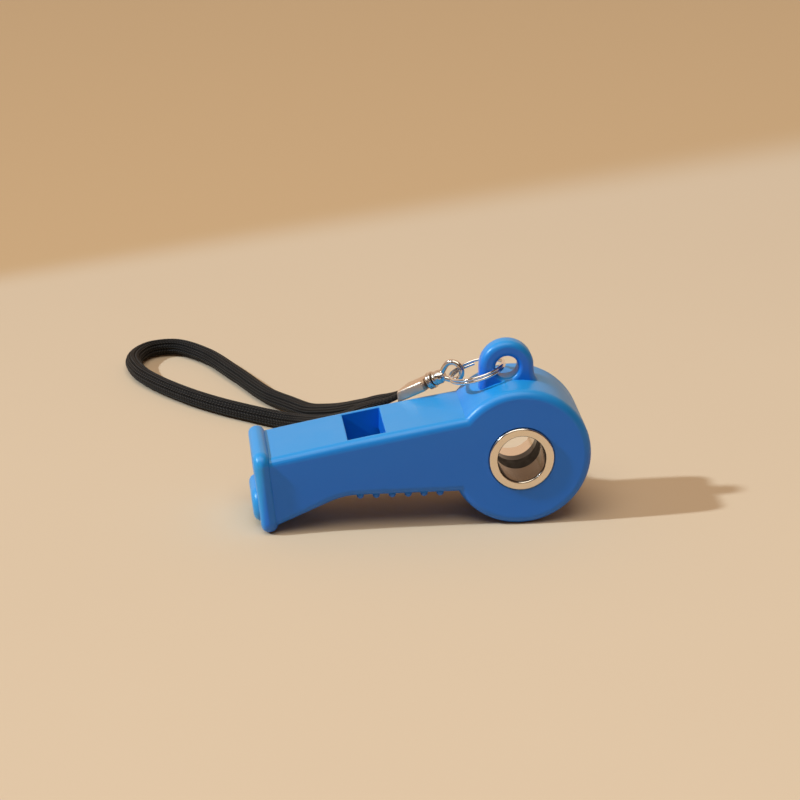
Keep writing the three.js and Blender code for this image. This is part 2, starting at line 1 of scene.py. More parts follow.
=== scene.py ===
import math

import bmesh
import bpy
from mathutils import Matrix, Vector


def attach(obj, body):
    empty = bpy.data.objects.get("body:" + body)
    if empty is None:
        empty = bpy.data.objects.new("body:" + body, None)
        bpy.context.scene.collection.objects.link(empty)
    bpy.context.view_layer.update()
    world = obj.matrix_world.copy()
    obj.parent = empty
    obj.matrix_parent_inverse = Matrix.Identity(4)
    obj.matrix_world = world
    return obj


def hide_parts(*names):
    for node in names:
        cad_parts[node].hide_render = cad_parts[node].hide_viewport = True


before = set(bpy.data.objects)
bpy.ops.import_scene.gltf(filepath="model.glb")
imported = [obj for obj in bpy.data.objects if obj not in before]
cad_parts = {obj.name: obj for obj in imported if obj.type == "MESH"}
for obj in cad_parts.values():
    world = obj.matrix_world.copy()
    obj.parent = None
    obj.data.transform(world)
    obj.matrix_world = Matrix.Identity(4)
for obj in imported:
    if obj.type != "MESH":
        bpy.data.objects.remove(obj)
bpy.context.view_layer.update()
bpy.context.scene.view_settings.view_transform = "Standard"

MM = 0.001
WELD = 1e-6
FLAT_FOLD = math.radians(0.3)

# Camera: its turn and rise, and how far right, up and back it stands from the drum's foot
CAMERA_TURN = math.radians(-6.057)
CAMERA_RISE = math.radians(20.762)
CAMERA_RIGHT = -19.646 * MM
CAMERA_UP = 18.421 * MM
CAMERA_BACK = 515.048 * MM

# Body: drum, the barrel's sloping top with its window, and the stretch of the mouth's front that is
# painted paler as painted light
DRUM_X = 16.65 * MM
DRUM_RADIUS = 12.0 * MM
TOP_HEIGHT = 21.92 * MM
TOP_SLOPE = 0.2
TOP_SAG = 1.05 * MM
BARREL_REACH = 42.45 * MM
WINDOW_START = -12.6 * MM
WINDOW_END = -6.0 * MM
WINDOW_HALF_WIDTH = 6.3 * MM
WINDOW_ROUND = 0.22 * MM
RIM_TOLERANCE = 0.06 * MM
PAINTED_FRONT_LIGHT_FROM = -26.2 * MM
PAINTED_FRONT_LIGHT_TO = -27.6 * MM

# Eyelet: where its bright face begins round the bore, and where the black in the bore ends
FACE_FROM = 4.08 * MM
FACE_TO = 4.20 * MM
BLACK_FADES_FROM = 3.85 * MM
BLACK_FADES_TO = 4.05 * MM

# Split ring: middle, lean, wire and turns
RING_CENTRE = Vector((0.0102, 0.0018821, 0.0246300))
RING_DIP = math.radians(16.9)
RING_ROLL = math.radians(3.2)
RING_RADIUS = 4.70 * MM
RING_WIRE = 0.25 * MM
RING_PITCH = 0.53 * MM
RING_START = math.radians(150)
RING_CROSSOVER = math.radians(60)
RING_STEPS = 240

# Swivel: its lean, and distances from the middle of its eye along its own axis
SWIVEL_ALONG = Vector((0.74772, -0.43693, 0.5))
SWIVEL_ACROSS = Vector((0.50453, 0.8634, 0.0))
EYE_CENTRE = Vector((0.0065605, 0.0055019, 0.02331))
EYE_RADIUS = 1.6 * MM
EYE_WIRE = 0.50 * MM
EYE_BEND = math.radians(115)
EYE_BEND_STEPS = 10
TAIL_HALF_WIDTH = 0.42 * MM
TAIL_AT = 2.2 * MM
TAIL_END = 2.62 * MM
GROOVE_DEPTH = 0.11 * MM
NECK_AT = 1.80 * MM
NECK_RADIUS = 0.60 * MM
SHOULDER_AT = 2.2 * MM
SHOULDER_RADIUS = 1.00 * MM
BARREL_AT = 2.60 * MM
BARREL_TAPER = 0.03 * MM
BARREL_RADIUS = 1.25 * MM
BARREL_GROOVE = (3.25 * MM, 3.53 * MM)
BARREL_GROOVE_SLOPE = 0.07 * MM
BARREL_RIM_AT = 3.78 * MM
BARREL_END = 3.9 * MM
EYE_VOXEL = 0.045 * MM
COLLAR_BORE = 0.62 * MM
COLLAR_START = 4.05 * MM
COLLAR_END = 5.15 * MM
COLLAR_RADIUS = 1.48 * MM
COLLAR_RIM_RADIUS = 1.34 * MM
COLLAR_RIM = 0.12 * MM
COLLAR_GROOVE = (4.45 * MM, 4.75 * MM)
COLLAR_GROOVE_SLOPE = 0.08 * MM
COLLAR_EDGE = 0.03 * MM
RIVET_RADIUS = 0.35 * MM
RIVET_START = 3.18 * MM
RIVET_HEAD_RADIUS = 0.47 * MM
RIVET_HEAD_AT = 5.66 * MM
RIVET_HEAD_LENGTH = 0.20 * MM
RIVET_HEAD_STEP = 0.02 * MM
RIVET_DOME = [(0.11 * MM, 0.11 * MM), (0.29 * MM, 0.15 * MM)]

# Clamp: folded sheet on the swivel's axis, its mouth open towards the cord
CLAMP_AT = 5.3 * MM
CLAMP_LENGTH = 5.8 * MM
CLAMP_WIDTH = 5.2 * MM
CLAMP_THICKNESS = 1.95 * MM
CLAMP_SHEET = 0.28 * MM
CLAMP_SLANT = 0.9 * MM
CLAMP_FOLD = 0.42 * MM
CLAMP_EDGE = 0.06 * MM
CLAMP_MOUTH = Vector((-0.001739, 0.010352, 0.017760))

# Cord: pressed flat in the clamp, then round with ribs
CORD_DIAMETER = 3.1 * MM
CORD_FLOOR = 1.63 * MM
CORD_SPACING = 1.12 * MM
CORD_STEP = 0.3 * MM
CORD_CURVE_STEPS = 24
CORD_SIDES = 108
CORD_RIBS = 9
CORD_RIB_DEPTH = 0.17 * MM
PRESSED_HALF_WIDTH = 1.06 * MM
PRESSED_HALF_HEIGHT = 0.50 * MM
PRESSED_LENGTH = 4.2 * MM
SWELLING_LENGTH = 9.0 * MM
BRAID_COLUMNS = 18
STITCHES_PER_METRE = 1500

# Each end of the cord at the clamp: distance inwards from its mouth, and spread from its axis
CORD_LEAD = [
    (3.4 * MM, 1.0),
    (1.2 * MM, 1.0),
    (-0.5 * MM, 1.1),
    (-1.9 * MM, 1.3),
]

# Route of the loop from the clamp's far half round to its near half: metres along X and Y from
# the clamp's mouth, and share of the mouth's height above the table
CORD_ROUTE = [
    (-0.0024, 0.0041, 0.845),
    (-0.0043, 0.0074, 0.705),
    (-0.0066, 0.0129, 0.54),
    (-0.0089, 0.0190, 0.37),
    (-0.0112, 0.0247, 0.23),
    (-0.0136, 0.0304, 0.11),
    (-0.0166, 0.0372, 0.04),
    (-0.0204, 0.0441, 0),
    (-0.0257, 0.0563, 0),
    (-0.0313, 0.0679, 0),
    (-0.0366, 0.0730, 0),
    (-0.0418, 0.0720, 0),
    (-0.0449, 0.0664, 0),
    (-0.0439, 0.0591, 0),
    (-0.0410, 0.0533, 0),
    (-0.0353, 0.0456, 0),
    (-0.0296, 0.0397, 0),
    (-0.0239, 0.0350, 0),
    (-0.0190, 0.0310, 0.01),
    (-0.0156, 0.0275, 0.05),
    (-0.0132, 0.0228, 0.14),
    (-0.0109, 0.0167, 0.29),
    (-0.0084, 0.0102, 0.49),
    (-0.0060, 0.0044, 0.71),
    (-0.0042, 0.0012, 0.85),
]

# Table: the slanting line where its painted shadow starts, and how softly it does
TABLE_SIZE = 6.0
TABLE_GAP = 0.00005
PAINTED_SHADOW_START = 166 * MM
PAINTED_SHADOW_SLOPE = 0.425
PAINTED_SHADOW_SOFTNESS = 30 * MM
PAINTED_SHADOW_SOFTER_TO_RIGHT = 0.12
PAINTED_SHADOW_LEAST_SOFTNESS = 12 * MM

# Light
SUN_TRAVEL = Vector((41, 4.5, -31))
SUN_STRENGTH = 2.36
SUN_SPREAD = math.radians(2.5)
SUN_COLOUR = (0.80, 1.0, 1.2)
SOFTBOX_PLACE = (-0.12, -0.30, 0.86)
SOFTBOX_SIZE = (0.8, 0.7)
SOFTBOX_POWER = 4.5
SOFTBOX_COLOUR = (1.0, 0.98, 0.90)


def place_camera():
    right = Vector((math.cos(CAMERA_TURN), math.sin(CAMERA_TURN), 0))
    back = Vector((
        math.sin(CAMERA_TURN) * math.cos(CAMERA_RISE),
        -math.cos(CAMERA_TURN) * math.cos(CAMERA_RISE),
        math.sin(CAMERA_RISE),
    ))
    up = back.cross(right)
    drum_foot = Vector((DRUM_X, 0, 0))
    place = drum_foot + right * CAMERA_RIGHT + up * CAMERA_UP + back * CAMERA_BACK
    data = bpy.data.cameras.new("camera")
    data.lens = 135
    data.sensor_width = 36
    data.clip_start = 0.01
    camera = bpy.data.objects.new("camera", data)
    bpy.context.collection.objects.link(camera)
    turned = Matrix((right, up, back)).transposed().to_4x4()
    camera.matrix_world = Matrix.Translation(place) @ turned
    bpy.context.scene.camera = camera


# Materials

def new_material(name):
    material = bpy.data.materials.new(name)
    material.use_nodes = True
    tree = material.node_tree
    shader = tree.nodes["Principled BSDF"]
    return material, tree, shader


def add(tree, kind, **values):
    node = tree.nodes.new(kind)
    for key, value in values.items():
        setattr(node, key, value)
    return node


def object_coordinates(tree):
    return add(tree, "ShaderNodeTexCoord").outputs["Object"]


def noise(tree, where, scale, detail=3.0, roughness=0.5):
    node = add(tree, "ShaderNodeTexNoise")
    node.inputs["Scale"].default_value = scale
    node.inputs["Detail"].default_value = detail
    node.inputs["Roughness"].default_value = roughness
    tree.links.new(where, node.inputs["Vector"])
    return node.outputs["Fac"]


def between(tree, factor, low, high):
    node = add(tree, "ShaderNodeMapRange")
    node.inputs["From Min"].default_value = 0.3
    node.inputs["From Max"].default_value = 0.7
    node.inputs["To Min"].default_value = low
    node.inputs["To Max"].default_value = high
    tree.links.new(factor, node.inputs["Value"])
    return node.outputs["Result"]


def mixed(tree, factor, first, second):
    """A mix of two colours, each a value or another node's colour."""
    node = add(tree, "ShaderNodeMix", data_type="RGBA")
    colour_sockets = [socket for socket in node.inputs if socket.type == "RGBA"]
    for socket, value in zip(colour_sockets, (first, second)):
        if hasattr(value, "node"):
            tree.links.new(value, socket)
        else:
            socket.default_value = (*value, 1)
    tree.links.new(factor, node.inputs["Factor"])
    return [socket for socket in node.outputs if socket.type == "RGBA"][0]


def math_node(tree, operation, first, second=None, clamp=False):
    node = add(tree, "ShaderNodeMath", operation=operation, use_clamp=clamp)
    for index, value in enumerate((first, second)):
        if value is None:
            continue
        if hasattr(value, "node"):
            tree.links.new(value, node.inputs[index])
        else:
            node.inputs[index].default_value = value
    return node.outputs[0]


def bump(tree, shader, height, strength, distance):
    node = add(tree, "ShaderNodeBump")
    node.inputs["Strength"].default_value = strength
    node.inputs["Distance"].default_value = distance
    tree.links.new(height, node.inputs["Height"])
    tree.links.new(node.outputs["Normal"], shader.inputs["Normal"])


def moulded_blue_plastic():
    material, tree, shader = new_material("moulded_blue_plastic")
    where = object_coordinates(tree)
    flow = noise(tree, where, scale=55, detail=2.0)
    deep = mixed(tree, flow, (0.001, 0.149, 0.66), (0.002, 0.161, 0.70))
    # painted light: this paler blue stands in for stronger light on upward faces and on the mouth's
    # front
    painted_light_blue = mixed(tree, flow, (0.014, 0.290, 0.66), (0.018, 0.310, 0.69))
    # painted light: faces turned upwards are painted a paler blue
    facing = add(tree, "ShaderNodeSeparateXYZ")
    tree.links.new(add(tree, "ShaderNodeNewGeometry").outputs["Normal"], facing.inputs["Vector"])
    painted_top_light = math_node(tree, "POWER", math_node(tree, "MAXIMUM", facing.outputs["Z"], 0.0), 0.7)
    # painted light: the mouth's front, which faces the sun, is painted paler too
    place = add(tree, "ShaderNodeSeparateXYZ")
    tree.links.new(where, place.inputs["Vector"])
    painted_front_light = add(tree, "ShaderNodeMapRange", interpolation_type="SMOOTHSTEP")
    painted_front_light.inputs["From Min"].default_value = PAINTED_FRONT_LIGHT_FROM
    painted_front_light.inputs["From Max"].default_value = PAINTED_FRONT_LIGHT_TO
    tree.links.new(place.outputs["X"], painted_front_light.inputs["Value"])
    painted_light_share = math_node(tree, "MAXIMUM", painted_top_light, painted_front_light.outputs["Result"])
    tree.links.new(mixed(tree, painted_light_share, deep, painted_light_blue), shader.inputs["Base Color"])
    handled = noise(tree, where, scale=260, detail=4.0)
    tree.links.new(between(tree, handled, low=0.33, high=0.40), shader.inputs["Roughness"])
    grain = noise(tree, where, scale=5200, detail=2.0)
    bump(tree, shader, grain, strength=0.05, distance=0.00004)
    shader.inputs["IOR"].default_value = 1.49
    return material


def polished_metal(name, colour, shade, rough):
    material, tree, shader = new_material(name)
    where = object_coordinates(tree)
    cloud = noise(tree, where, scale=420, detail=3.0)
    tree.links.new(mixed(tree, cloud, colour, shade), shader.inputs["Base Color"])
    wear = noise(tree, where, scale=1800, detail=4.0)
    tree.links.new(between(tree, wear, low=rough, high=rough * 1.8), shader.inputs["Roughness"])
    shader.inputs["Metallic"].default_value = 1.0
    return material


def eyelet_nickel():
    material, tree, shader = new_material("eyelet_nickel")
    where = object_coordinates(tree)
    parts = add(tree, "ShaderNodeSeparateXYZ")
    tree.links.new(where, parts.inputs["Vector"])
    x = math_node(tree, "SUBTRACT", parts.outputs["X"], DRUM_X)
    z = math_node(tree, "SUBTRACT", parts.outputs["Z"], DRUM_RADIUS)
    away = math_node(tree, "SQRT", math_node(tree, "ADD", math_node(tree, "MULTIPLY", x, x),
                                             math_node(tree, "MULTIPLY", z, z)))
    face = add(tree, "ShaderNodeMapRange", interpolation_type="SMOOTHSTEP")
    face.inputs["From Min"].default_value = FACE_FROM
    face.inputs["From Max"].default_value = FACE_TO
    tree.links.new(away, face.inputs["Value"])
    # the bore is painted dark brown on its near side as painted shade, black beyond its middle and
    # bright at its far end
    depth = add(tree, "ShaderNodeMapRange", interpolation_type="SMOOTHSTEP")
    depth.inputs["From Min"].default_value = BLACK_FADES_FROM
    depth.inputs["From Max"].default_value = BLACK_FADES_TO
    tree.links.new(parts.outputs["Y"], depth.inputs["Value"])
    beyond = math_node(tree, "GREATER_THAN", parts.outputs["Y"], 0.0)
    cloud = noise(tree, where, scale=420, detail=3.0)
    outside = mixed(tree, cloud, (0.82, 0.73, 0.62), (0.76, 0.67, 0.56))
    painted_bore_shade = mixed(tree, cloud, (0.15, 0.105, 0.068), (0.10, 0.070, 0.045))
    inside = mixed(tree, beyond, painted_bore_shade, (0.012, 0.010, 0.009))
    inside = mixed(tree, depth.outputs["Result"], inside, outside)
    tree.links.new(mixed(tree, face.outputs["Result"], inside, outside),
                   shader.inputs["Base Color"])
    wear = noise(tree, where, scale=1800, detail=4.0)
    tree.links.new(between(tree, wear, low=0.13, high=0.22), shader.inputs["Roughness"])
    shader.inputs["Metallic"].default_value = 1.0
    return material


def brushed_nickel():
    material, tree, shader = new_material("brushed_nickel")
    where = object_coordinates(tree)
    turn = add(tree, "ShaderNodeMapping")
    turn.inputs["Rotation"].default_value = (0.0, math.radians(30), math.radians(30.3))
    turn.inputs["Scale"].default_value = (0.08, 1.0, 1.0)
    tree.links.new(where, turn.inputs["Vector"])
    lines = noise(tree, turn.outputs["Vector"], scale=5200, detail=3.0)
    colour = mixed(tree, lines, (0.66, 0.51, 0.38), (0.76, 0.61, 0.47))
    tree.links.new(colour, shader.inputs["Base Color"])
    tree.links.new(between(tree, lines, low=0.36, high=0.46), shader.inputs["Roughness"])
    bump(tree, shader, lines, strength=0.05, distance=0.00002)
    shader.inputs["Metallic"].default_value = 1.0
    return material


def black_sleeve_plastic():
    material, tree, shader = new_material("black_sleeve_plastic")
    where = object_coordinates(tree)
    specks = noise(tree, where, scale=900, detail=3.0)
    tree.links.new(mixed(tree, specks, (0.003, 0.0027, 0.0025), (0.007, 0.0062, 0.0058)),
                   shader.inputs["Base Color"])
    tree.links.new(between(tree, specks, low=0.5, high=0.65), shader.inputs["Roughness"])
    shader.inputs["Specular IOR Level"].default_value = 0.2
    return material


def braided_black_yarn(columns, stitches_per_metre):
    """Slanting stitches in columns along the cord, turned the other way in every second column."""
    material, tree, shader = new_material("braided_black_yarn")
    uv = add(tree, "ShaderNodeUVMap", uv_map="around_and_along").outputs["UV"]
    parts = add(tree, "ShaderNodeSeparateXYZ")
    tree.links.new(uv, parts.inputs["Vector"])
    around, along = parts.outputs["X"], parts.outputs["Y"]
    column = math_node(tree, "MULTIPLY", around, columns)
    across = math_node(tree, "FRACT", column)
    odd = math_node(tree, "MODULO", math_node(tree, "FLOOR", column), 2)
    sign = math_node(tree, "SUBTRACT", math_node(tree, "MULTIPLY", odd, 2), 1)
    slant = math_node(tree, "MULTIPLY", math_node(tree, "SUBTRACT", across, 0.5), sign)
    row = math_node(tree, "ADD", math_node(tree, "MULTIPLY", along, stitches_per_metre),
                    math_node(tree, "MULTIPLY", slant, 0.9))
    stitch = math_node(tree, "ABSOLUTE",
                       math_node(tree, "SINE", math_node(tree, "MULTIPLY", row, math.pi)))
    edge = math_node(tree, "SINE", math_node(tree, "MULTIPLY", across, math.pi))
    height = math_node(tree, "MULTIPLY", math_node(tree, "POWER", stitch, 1.2),
                       math_node(tree, "POWER", edge, 0.8))
    patches = noise(tree, object_coordinates(tree), scale=300, detail=3.0)
    yarn = mixed(tree, patches, (0.030, 0.028, 0.026), (0.072, 0.066, 0.060))
    # painted shade: the crevices between stitches are painted near-black, and only the stitch tops
    # keep the yarn's colour
    lit = math_node(tree, "POWER", height, 2.2)
    colour = mixed(tree, lit, (0.0012, 0.0010, 0.0009), yarn)
    tree.links.new(colour, shader.inputs["Base Color"])
    shader.inputs["Roughness"].default_value = 0.6
    shader.inputs["Specular IOR Level"].default_value = 0.16
    shader.inputs["Sheen Weight"].default_value = 0.02
    shader.inputs["Sheen Roughness"].default_value = 0.4
    shader.inputs["Sheen Tint"].default_value = (0.8, 0.62, 0.45, 1)
    bump(tree, shader, height, strength=1.0, distance=0.00016)
    return material


# Helpers for pieces

def give(piece, body, slot, *nodes):
    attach(piece, body)
    if nodes:
        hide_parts(*nodes)


def dressed_copy(node, name, material, angle=32.0, rim=None):
    """The node's own solid with its loose triangles joined and its curves shaded round."""
    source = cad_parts[node]
    piece = source.copy()
    piece.data = source.data.copy()
    piece.name = name
    piece.parent = None
    bpy.context.collection.objects.link(piece)
    mesh = bmesh.new()
    mesh.from_mesh(piece.data)
    bmesh.ops.remove_doubles(mesh, verts=mesh.verts, dist=WELD)
    bmesh.ops.dissolve_limit(mesh, angle_limit=FLAT_FOLD, verts=mesh.verts, edges=mesh.edges)
    mesh.to_mesh(piece.data)
    mesh.free()
    bpy.ops.object.select_all(action="DESELECT")
    piece.select_set(True)
    bpy.context.view_layer.objects.active = piece
    if piece.data.has_custom_normals:
        bpy.ops.mesh.customdata_custom_splitnormals_clear()
    if rim:
        rim(piece)
    bpy.ops.object.shade_smooth_by_angle(angle=math.radians(angle))
    flats = piece.modifiers.new("true_flats", "WEIGHTED_NORMAL")
    flats.keep_sharp = True
    bpy.ops.object.modifier_apply(modifier=flats.name)
    piece.data.materials.clear()
    piece.data.materials.append(material)
    return piece


def rounded_window_rim(shell):
    """Breaks the sharp rim where the sounding window opens through the sloping top."""
    bpy.ops.object.mode_set(mode="EDIT")
    bpy.ops.mesh.select_mode(type="EDGE")
    bpy.ops.mesh.select_all(action="DESELECT")
    mesh = bmesh.from_edit_mesh(shell.data)
    for edge in mesh.edges:
        inside = all(on_window_rim(v.co) for v in edge.verts)
        folded = len(edge.link_faces) == 2 and edge.calc_face_angle() > math.radians(40)
        seam = all(abs(v.co.y) < 1e-5 for v in edge.verts)
        edge.select_set(inside and folded and not seam)
    bmesh.update_edit_mesh(shell.data)
    bpy.ops.mesh.bevel(offset=WINDOW_ROUND, segments=3)
    bpy.ops.object.mode_set(mode="OBJECT")


def on_window_rim(place):
    along = WINDOW_START < place.x < WINDOW_END
    across = abs(place.y) < WINDOW_HALF_WIDTH
    return along and across and abs(place.z - top_of_barrel(place.x)) < RIM_TOLERANCE


def top_of_barrel(x):
    """Height of the sloping, slightly sagging top over a place along the body."""
    back = x - DRUM_X
    along = 1 + back / BARREL_REACH
    return TOP_HEIGHT + TOP_SLOPE * back - TOP_SAG * along ** 2


def eased(share):
    """A share between 0 and 1 that starts and ends gently."""
    held = min(max(share, 0.0), 1.0)
    return held * held * (3 - 2 * held)


def centripetal(points, steps):
    """Points on the smooth curve through all the given ones, spaced by its own parameter."""
    first = points[0] * 2 - points[1]
    last = points[-1] * 2 - points[-2]
    chain = [first, *points, last]
    result = []
    for i in range(1, len(chain) - 2):
        a, b, c, d = chain[i - 1:i + 3]
        t0 = 0.0
        t1 = t0 + math.sqrt((b - a).length)
        t2 = t1 + math.sqrt((c - b).length)
        t3 = t2 + math.sqrt((d - c).length)
        for k in range(steps):
            t = t1 + (t2 - t1) * k / steps
            ab = a.lerp(b, (t - t0) / (t1 - t0))
            bc = b.lerp(c, (t - t1) / (t2 - t1))
            cd = c.lerp(d, (t - t2) / (t3 - t2))
            abc = ab.lerp(bc, (t - t0) / (t2 - t0))
            bcd = bc.lerp(cd, (t - t1) / (t3 - t1))
            result.append(abc.lerp(bcd, (t - t1) / (t2 - t1)))
    result.append(points[-1].copy())
    return result


def evenly(points, spacing):
    """The same line with its points a given distance apart."""
    lengths = [0.0]
    for i in range(1, len(points)):
        lengths.append(lengths[-1] + (points[i] - points[i - 1]).length)
    count = max(2, round(lengths[-1] / spacing))
    result = []
    k = 0
    for i in range(count + 1):
        want = lengths[-1] * i / count
        while k < len(points) - 2 and lengths[k + 1] < want:
            k += 1
        share = (want - lengths[k]) / (lengths[k + 1] - lengths[k])
        result.append(points[k].lerp(points[k + 1], share))
    return result


def choose(piece):
    bpy.ops.object.select_all(action="DESELECT")
    piece.select_set(True)
    bpy.context.view_layer.objects.active = piece


def smooth(piece, angle):
    choose(piece)
    bpy.ops.object.shade_smooth_by_angle(angle=math.radians(angle))


def select_faces(piece, test):
    """Selects, in edit mode, the faces that pass the test on their middle and normal."""
    mesh = bmesh.from_edit_mesh(piece.data)
    bpy.ops.mesh.select_all(action="DESELECT")
    for face in mesh.faces:
        face.select_set(test(face.calc_center_median(), face.normal))
    mesh.select_flush(True)
    bmesh.update_edit_mesh(piece.data)


def soften_edges(piece, width, segments, limit=30.0):
    choose(piece)
    bevel = piece.modifiers.new("softened_edges", "BEVEL")
    bevel.width = width
    bevel.segments = segments
    bevel.limit_method = "ANGLE"
    bevel.angle_limit = math.radians(limit)
    bpy.ops.object.modifier_apply(modifier=bevel.name)


def settle(piece, place):
    """Puts the piece's place in its mesh and leaves its object at the origin."""
    piece.data.transform(place @ piece.matrix_world)
    piece.matrix_world = Matrix.Identity(4)


def dress(piece, material, angle=35.0):
    smooth(piece, angle)
    piece.data.materials.clear()
    piece.data.materials.append(material)


def basis(x, y, z, origin):
    return Matrix.Translation(origin) @ Matrix((x, y, z)).transposed().to_4x4()


def ring_place():
    out = Vector((-math.cos(RING_DIP), 0, -math.sin(RING_DIP)))
    side = Matrix.Rotation(RING_ROLL, 3, out) @ Vector((0, 1, 0))
    return basis(out, side, out.cross(side), RING_CENTRE)


def swivel_place():
    up = SWIVEL_ALONG.cross(SWIVEL_ACROSS)
    return basis(SWIVEL_ACROSS, up, SWIVEL_ALONG, EYE_CENTRE)


def bent_wire(name, points, radius, closed):
    """A round wire bent along the points, its ends closed flat."""
    line = bpy.data.curves.new(name, "CURVE")
    line.dimensions = "3D"
    line.bevel_depth = radius
    line.bevel_resolution = 6
    line.use_fill_caps = True
    spline = line.splines.new("POLY")
    spline.points.add(len(points) - 1)
    for spot, point in zip(spline.points, points):
        spot.co = (*point, 1)
    spline.use_cyclic_u = closed
    wire = bpy.data.objects.new(name, line)
    bpy.context.collection.objects.link(wire)
    choose(wire)
    bpy.ops.object.convert(target="MESH")
    return bpy.context.active_object


def turned_piece(name, steps, sides=48):
    """A turned solid: a disc drawn out along Z through (radius, z) steps."""
    bpy.ops.object.select_all(action="DESELECT")
    radius, z = steps[0]
    bpy.ops.mesh.primitive_circle_add(vertices=sides, radius=radius, fill_type="NGON",
                                      location=(0, 0, 0))
    piece = bpy.context.active_object
    piece.name = name
    bpy.ops.object.mode_set(mode="EDIT")
    bpy.ops.mesh.select_all(action="SELECT")
    bpy.ops.transform.translate(value=(0, 0, z))
    for wide, height in steps[1:]:
        bpy.ops.mesh.extrude_region_move(TRANSFORM_OT_translate={"value": (0, 0, height - z)})
        grow = wide / radius
        bpy.ops.transform.resize(value=(grow, grow, 1.0), center_override=(0, 0, height))
        radius, z = wide, height
    bpy.ops.mesh.select_all(action="SELECT")
    bpy.ops.mesh.normals_make_consistent(inside=False)
    bpy.ops.object.mode_set(mode="OBJECT")
    return piece


# The split ring: two close turns of one wire, crossing over in one place

def split_ring(chrome):
    points = []
    sweep = 4 * math.pi - RING_CROSSOVER
    for i in range(RING_STEPS + 1):
        angle = sweep * i / RING_STEPS
        across = (angle - sweep / 2) / RING_CROSSOVER + 0.5
        rise = eased(across) - 0.5
        turn = RING_START + angle
        points.append((RING_RADIUS * math.cos(turn), RING_RADIUS * math.sin(turn),
                       RING_PITCH * rise))
    ring = bent_wire("chrome_split_ring", points, RING_WIRE, False)
    settle(ring, ring_place())
    dress(ring, chrome, 50)
    give(ring, "ring", "ring_chrome", "split_ring")


# The swivel: eye and barrel, collar, rivet

def eye_line():
    """The eye's wire: an arc of a circle, closed through a narrow tail inside the barrel."""
    turns = [EYE_BEND * (2 * i / EYE_BEND_STEPS - 1) for i in range(EYE_BEND_STEPS + 1)]
    knots = [Vector((0, EYE_RADIUS * math.sin(a), EYE_RADIUS * math.cos(a))) for a in turns]
    knots.append(Vector((0, TAIL_HALF_WIDTH, -TAIL_AT)))
    knots.append(Vector((0, 0, -TAIL_END)))
    knots.append(Vector((0, -TAIL_HALF_WIDTH, -TAIL_AT)))
    before, after, steps = 2, 3, 8
    line = centripetal(knots[-before:] + knots + knots[:after], steps)
    first = before * steps
    return line[first:first + steps * len(knots)]


def groove(radius, span, slope):
    """Steps of a turned groove between two distances along a piece of the given radius."""
    start, end = span
    return [
        (radius, -start),
        (radius - GROOVE_DEPTH, -start - slope),
        (radius - GROOVE_DEPTH, -end + slope),
        (radius, -end),
    ]


def swivel_eye(metal):
    loop = bent_wire("nickel_swivel_eye", eye_line(), EYE_WIRE, True)
    barrel = turned_piece("barrel", [
        (NECK_RADIUS, -NECK_AT),
        (SHOULDER_RADIUS, -SHOULDER_AT),
        (BARREL_RADIUS - BARREL_TAPER, -BARREL_AT),
        *groove(BARREL_RADIUS, BARREL_GROOVE, BARREL_GROOVE_SLOPE),
        (BARREL_RADIUS, -BARREL_RIM_AT),
        (BARREL_RADIUS - GROOVE_DEPTH, -BARREL_END),
    ])
    bpy.ops.object.select_all(action="DESELECT")
    barrel.select_set(True)
    loop.select_set(True)
    bpy.context.view_layer.objects.active = loop
    bpy.ops.object.join()
    fused = loop.modifiers.new("fused", "REMESH")
    fused.mode = "VOXEL"
    fused.voxel_size = EYE_VOXEL
    bpy.ops.object.modifier_apply(modifier=fused.name)
    softened = loop.modifiers.new("softened", "SMOOTH")
    softened.factor = 0.5
    softened.iterations = 5
    bpy.ops.object.modifier_apply(modifier=softened.name)
    settle(loop, swivel_place())
    dress(loop, metal, 60)
    give(loop, "swivel", "swivel_chrome", "swivel_eye")


def swivel_collar(metal):
    collar = turned_piece("nickel_swivel_collar", [
        (COLLAR_BORE, -COLLAR_START),
        (COLLAR_RIM_RADIUS, -COLLAR_START),
        (COLLAR_RADIUS, -COLLAR_START - COLLAR_RIM),
        *groove(COLLAR_RADIUS, COLLAR_GROOVE, COLLAR_GROOVE_SLOPE),
        (COLLAR_RADIUS, -COLLAR_END + COLLAR_RIM),
        (COLLAR_RIM_RADIUS, -COLLAR_END),
        (COLLAR_BORE, -COLLAR_END),
    ])
    soften_edges(collar, COLLAR_EDGE, segments=2)
    settle(collar, swivel_place())
    dress(collar, metal, 50)
    give(collar, "swivel", "swivel_chrome", "swivel_collar")


def swivel_rivet(metal):
    head_end = RIVET_HEAD_AT + RIVET_HEAD_LENGTH
    rivet = turned_piece("nickel_swivel_rivet", [
        (RIVET_RADIUS, -RIVET_START),
        (RIVET_RADIUS, -RIVET_HEAD_AT),
        (RIVET_HEAD_RADIUS, -RIVET_HEAD_AT - RIVET_HEAD_STEP),
        (RIVET_HEAD_RADIUS, -head_end),
        *[(RIVET_HEAD_RADIUS - less, -head_end - past) for less, past in RIVET_DOME],
    ], sides=32)
    settle(rivet, swivel_place())
    dress(rivet, metal, 50)
    give(rivet, "swivel", "swivel_chrome", "swivel_pin")


# The clamp: a folded sheet sleeve, open towards the cord

